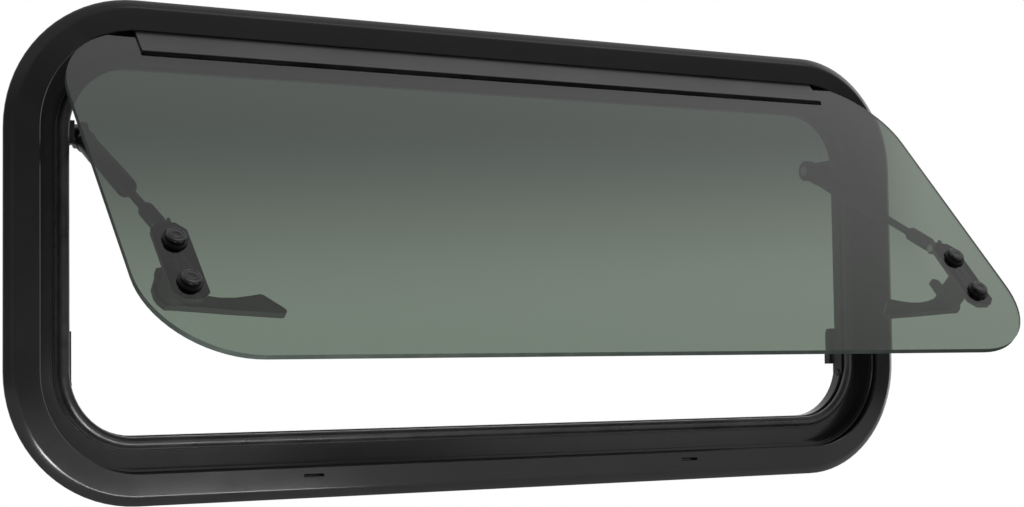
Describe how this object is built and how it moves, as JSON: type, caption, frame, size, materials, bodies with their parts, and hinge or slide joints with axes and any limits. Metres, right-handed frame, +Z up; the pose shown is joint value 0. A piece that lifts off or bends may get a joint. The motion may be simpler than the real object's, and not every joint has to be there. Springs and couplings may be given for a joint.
{
  "type": "caravan window",
  "caption": "Top-hung caravan window shown open: tinted pane in a round-cornered alloy frame, telescopic stays and turn latches.",
  "frame": {"origin": "on the flat rear face of the flange's foot, which lies on the wall, in the middle of the bottom rail", "axes": "+Y through the wall into the room, square to the flange; +Z up; +X to the right seen from outdoors"},
  "size_m": [1, 0.3237, 0.45],
  "materials": {
    "frame_coat": "satin grey-black powder coat",
    "ring_coat": "matt black powder coat",
    "strip_coat": "satin dark grey coat",
    "tinted_glass": "green-grey tinted toughened pane",
    "rubber_black": "black rubber",
    "fitting_plastic": "black moulded nylon",
    "lever_plastic": "black moulded nylon, fine grain",
    "rod_coat": "black coated rod",
    "cap_black": "glossy black cap",
    "zinc_steel": "zinc plated"
  },
  "bodies": {
    "root": {"outer_frame": "frame_coat", "wall_gasket": "rubber_black", "inner_ring": "ring_coat", "clamp_screws": "zinc_steel", "sash_seal": "rubber_black", "glass_pane": "tinted_glass", "hinge_strip": "strip_coat", "hinge_gasket": "rubber_black", "stay_mount_left": "fitting_plastic", "stay_mount_right": "fitting_plastic", "stay_mount_screws_left": "zinc_steel", "stay_mount_screws_right": "zinc_steel", "stay_pivot_left": "zinc_steel", "stay_pivot_right": "zinc_steel", "stay_housing_left": "fitting_plastic", "stay_housing_right": "fitting_plastic", "stay_rod_left": "rod_coat", "stay_rod_right": "rod_coat", "stay_ferrule_left": "fitting_plastic", "stay_ferrule_right": "fitting_plastic", "stay_end_pin_left": "zinc_steel", "stay_end_pin_right": "zinc_steel", "glass_bracket_left": "fitting_plastic", "glass_bracket_right": "fitting_plastic", "bracket_pad_left": "rubber_black", "bracket_pad_right": "rubber_black", "glass_bolts_left": "cap_black", "glass_bolts_right": "cap_black", "bolt_washers_left": "rubber_black", "bolt_washers_right": "rubber_black", "bracket_nuts_left": "zinc_steel", "bracket_nuts_right": "zinc_steel", "lever_pin_left": "zinc_steel", "lever_pin_right": "zinc_steel", "strike_left": "fitting_plastic", "strike_right": "fitting_plastic", "strike_screw_left": "zinc_steel", "strike_screw_right": "zinc_steel"},
    "lever_left": {"latch_lever_left": "lever_plastic"},
    "lever_right": {"latch_lever_right": "lever_plastic"}
  },
  "joints": [
    {"name": "latch_left", "type": "hinge", "parent": "root", "child": "lever_left", "pos_m": [-0.4165, -0.17624, 0.17168], "axis": [0, -0.7373, 0.6756], "range_deg": [0, 90]},
    {"name": "latch_right", "type": "hinge", "parent": "root", "child": "lever_right", "pos_m": [0.4165, -0.17624, 0.17168], "axis": [0, 0.7373, -0.6756], "range_deg": [0, 90]}
  ]
}
